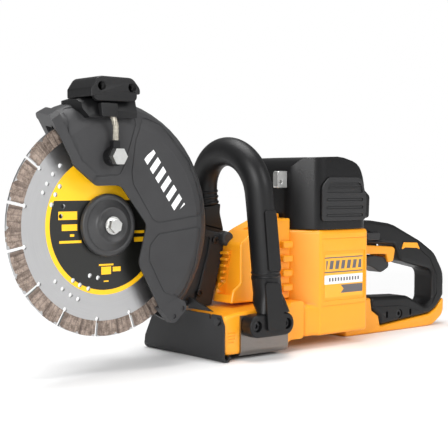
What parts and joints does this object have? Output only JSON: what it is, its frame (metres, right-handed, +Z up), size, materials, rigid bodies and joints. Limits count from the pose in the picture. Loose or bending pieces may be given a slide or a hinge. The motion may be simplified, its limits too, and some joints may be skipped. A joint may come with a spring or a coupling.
{
  "type": "cordless cut-off saw",
  "caption": "Battery-powered rescue cut-off saw with a slotted diamond blade, turning guard, front loop handle, rear D-handle and a metal foot plate.",
  "frame": {"origin": "on the ground under the centre of the saw's bounding box; the blade's centre is at [-0.2282, -0.0242, 0.153] m", "axes": "+X runs back from the blade to the rear handle, +Y runs across from the blade's plane to the drive arm and the far end of the foot, +Z is up"},
  "size_m": [0.6865, 0.1656, 0.302],
  "materials": {
    "blade": "brushed core with grey sintered segments",
    "bright_steel": "plated",
    "dark_steel": "blackened",
    "outer_flange": "black oxide, satin",
    "guard_paint": "fine matt powder coat",
    "foot_paint": "matt powder coat",
    "black_plastic": "fine moulded texture",
    "grip_rubber": "soft overmould",
    "drive_cover": "matt coating",
    "yellow_shell": "satin moulded",
    "hood": "satin moulded",
    "grille": "satin moulded",
    "battery": "moulded",
    "grey_plastic": "moulded",
    "belly_plate": "satin plated sheet",
    "belt": "ribbed rubber",
    "copper": "enamelled copper winding",
    "circuit_board": "potted board",
    "hose_braid": "fine wire braid"
  },
  "bodies": {
    "body": {"spindle_bearing_near": "bright_steel", "spindle_bearing_far": "bright_steel", "motor_bearing_near": "bright_steel", "motor_bearing_far": "bright_steel", "strap_eye": "bright_steel", "cover_screw_upper": "dark_steel", "cover_screw_lower": "dark_steel", "handle_screw_front": "dark_steel", "handle_screw_rear": "dark_steel", "grip_bolt": "dark_steel", "foot_screw": "dark_steel", "foot_plate": "foot_paint", "foot_gusset": "foot_paint", "drive_case": "black_plastic", "drive_lid": "black_plastic", "handle_boot": "black_plastic", "handle_base": "black_plastic", "handle_far_base": "black_plastic", "bay_bulkhead": "black_plastic", "switch_block": "black_plastic", "front_handle": "grip_rubber", "rear_handle": "grip_rubber", "drive_cover": "drive_cover", "lower_housing": "yellow_shell", "motor_housing": "yellow_shell", "rear_housing": "yellow_shell", "handle_spine": "yellow_shell", "trigger_frame": "yellow_shell", "battery_hood": "hood", "grille_panel": "grille", "terminal_block": "grey_plastic", "belly_plate": "belly_plate", "drive_belt": "belt", "motor_stator": "copper", "controller_module": "circuit_board"},
    "spindle": {"blade": "blade", "spindle_shaft": "bright_steel", "inner_flange": "dark_steel", "outer_flange": "outer_flange", "flange_bolt": "bright_steel", "spindle_pulley": "dark_steel"},
    "rotor": {"motor_rotor": "dark_steel", "cooling_fan": "black_plastic", "motor_pulley": "dark_steel"},
    "guard": {"guard_shell": "guard_paint", "guard_lip": "guard_paint", "guard_back": "guard_paint", "guard_saddle": "black_plastic", "guard_handle": "black_plastic", "hose_boss": "black_plastic", "water_hose": "hose_braid", "banjo_fitting": "black_plastic", "banjo_bolt": "bright_steel", "guard_screw_upper": "dark_steel", "guard_screw_lower": "dark_steel"},
    "trigger": {"trigger": "grey_plastic"},
    "lock_off": {"lock_off_button": "grey_plastic"},
    "spindle_lock": {"spindle_lock_button": "black_plastic"},
    "battery": {"battery_pack": "battery"},
    "battery_latch": {"battery_latch": "grey_plastic"}
  },
  "joints": [
    {"name": "spindle_spin", "type": "hinge", "parent": "body", "child": "spindle", "pos_m": [-0.2282, -0.0242, 0.153], "axis": [0, 1, 0], "continuous": true},
    {"name": "rotor_spin", "type": "hinge", "parent": "body", "child": "rotor", "pos_m": [-0.0062, -0.0102, 0.099], "axis": [0, 1, 0], "continuous": true},
    {"name": "guard_turn", "type": "hinge", "parent": "body", "child": "guard", "pos_m": [-0.2282, -0.0022, 0.153], "axis": [0, -1, 0], "range_deg": [0, 60]},
    {"name": "trigger_pull", "type": "hinge", "parent": "body", "child": "trigger", "pos_m": [0.1778, 0.0018, 0.099], "axis": [0, -1, 0], "range_deg": [0, 10], "stiffness_Nm_per_rad": 0.8, "springref_deg": -8.59},
    {"name": "lock_off_press", "type": "slide", "parent": "body", "child": "lock_off", "axis": [0, 1, 0], "range_m": [0, 0.003], "stiffness_N_per_m": 600, "springref_m": -0.002},
    {"name": "spindle_lock_press", "type": "slide", "parent": "body", "child": "spindle_lock", "axis": [0, -1, 0], "range_m": [0, 0.004], "stiffness_N_per_m": 800, "springref_m": -0.002},
    {"name": "battery_slide", "type": "slide", "parent": "body", "child": "battery", "axis": [1, 0, 0], "range_m": [0, 0.11]},
    {"name": "battery_latch_press", "type": "slide", "parent": "battery", "child": "battery_latch", "axis": [-1, 0, 0], "range_m": [0, 0.003], "stiffness_N_per_m": 900, "springref_m": -0.002}
  ],
  "couplings": [
    {"joint": "rotor_spin", "follows": "spindle_spin", "ratio": 1.375}
  ]
}
